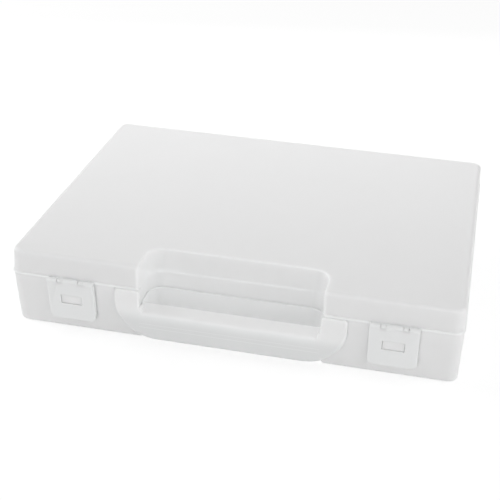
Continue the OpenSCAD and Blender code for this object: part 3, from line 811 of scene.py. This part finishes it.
# Thicker mouldings: shallow scatter and a smoother face read as denser and a little glossier than the walls
# The handle carries painted highlights in place of its ridges, and painted shade darker towards its foot
handle_material = polypropylene("satin_handle", "#fcfdfd", 1.2, 0.35, ridge_highlights, 0.83)
latch_material = polypropylene("satin_latch", "#f1f2f2", 1.2, 0.35)
# Pins cut from rod, the smoothest of the surfaces
pin_material = polypropylene("pin_rod", "#f4f4f2", 2, 0.3)

dress(make_lid(), lid_material)
dress(make_base(), base_material)
dress(make_handle(), handle_material)
for side, x in (("left", -LATCH_X), ("right", LATCH_X)):
    dress(make_latch(side, x), latch_material)
for pin in ("hinge_pin_left", "hinge_pin_right", "latch_pin_left", "latch_pin_right"):
    dress(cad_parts[pin], pin_material)


# White sheet under the case: half its side and how far it lies below the case in millimetres, how much of
# what the camera sees of it is glow, and the strength of that glow
SHEET_HALF, SHEET_DROP = 3000.0, 0.2
SHEET_LIFT, SHEET_GLOW = 0.6, 1.2
# Strength of the room's own light, and how bright the camera sees the room
ROOM, ROOM_SEEN = 0.46, 1.0
# Lamps: name, place, target, width and height, all in metres, and power in watts
LAMPS = (
    ("notch_glow", (0, -0.123, -0.0001), (0, -0.123, 1), 0.144, 0.022, 0.0103),
    ("back_low", (-0.15, 0.62, 0.35), (0, -0.05, 0.07), 0.9, 0.2, 1.25),
    ("front", (0, -2.2, 0.8), (0, 0, 0), 2.0, 1.0, 10.6),
    ("front_right", (1.8, -1.2, 0.9), (0, 0, 0), 1.5, 1.0, 5.3),
    ("left", (-2.2, 0.1, 0.8), (0, 0, 0), 1.5, 1.0, 10.5),
    ("high_left", (-1.5, 0.2, 1.7), (0, 0, 0), 1.5, 1.0, 6.5),
    ("right", (2.2, 0.1, 0.8), (0, 0, 0), 1.5, 1.0, 10.0),
)


def make_floor():
    """A wide white sheet under the case. What the camera sees of it is lifted towards white, and keeps the
    shadow."""
    corners = [(-1, -1), (1, -1), (1, 1), (-1, 1)]
    points = [(SHEET_HALF * x, SHEET_HALF * y, -SHEET_DROP) for x, y in corners]
    floor = make_mesh("floor", points, [(0, 1, 2, 3)])
    material = bpy.data.materials.new("white_sheet")
    material.use_nodes = True
    tree = material.node_tree
    tree.nodes.clear()
    path = add(tree, "ShaderNodeLightPath")
    seen = add(tree, "ShaderNodeMath", {"operation": "MAXIMUM"},
               {0: path.outputs["Is Camera Ray"], 1: path.outputs["Is Glossy Ray"]})
    seen = add(tree, "ShaderNodeMath", {"operation": "MAXIMUM"},
               {0: seen.outputs[0], 1: path.outputs["Is Transmission Ray"]})
    lift = add(tree, "ShaderNodeMath", {"operation": "MULTIPLY", 1: SHEET_LIFT}, {0: seen.outputs[0]})
    sheet = add(tree, "ShaderNodeBsdfDiffuse", {"Color": hex_colour("#f8f8f8")})
    glow = add(tree, "ShaderNodeEmission", {"Color": (1, 1, 1, 1), "Strength": SHEET_GLOW})
    mix = add(tree, "ShaderNodeMixShader", {},
              {0: lift.outputs[0], 1: sheet.outputs[0], 2: glow.outputs[0]})
    add(tree, "ShaderNodeOutputMaterial", {}, {"Surface": mix.outputs[0]})
    dress(floor, material)


def make_light():
    """A white room, dimmer than the camera sees it, and soft lamps around the case. A small one at floor
    level in the open notch stands for the light that a pale table throws up there."""
    world = bpy.data.worlds.new("room")
    bpy.context.scene.world = world
    world.use_nodes = True
    tree = world.node_tree
    tree.nodes.clear()
    path = add(tree, "ShaderNodeLightPath")
    room = add(tree, "ShaderNodeBackground", {"Color": (1, 1, 1, 1), "Strength": ROOM})
    seen = add(tree, "ShaderNodeBackground", {"Color": (1, 1, 1, 1), "Strength": ROOM_SEEN})
    mix = add(tree, "ShaderNodeMixShader", {}, {
        0: path.outputs["Is Camera Ray"], 1: room.outputs[0], 2: seen.outputs[0]})
    add(tree, "ShaderNodeOutputWorld", {}, {"Surface": mix.outputs[0]})
    for name, at, target, width, height, watts in LAMPS:
        data = bpy.data.lights.new(name, "AREA")
        data.shape = "RECTANGLE"
        data.size, data.size_y = width, height
        data.energy = watts
        lamp = bpy.data.objects.new(name, data)
        way = Vector(target) - Vector(at)
        lamp.matrix_world = Matrix.Translation(at) @ way.to_track_quat("-Z", "Y").to_matrix().to_4x4()
        bpy.context.scene.collection.objects.link(lamp)


make_floor()
make_light()
bpy.context.scene.view_settings.view_transform = "Standard"
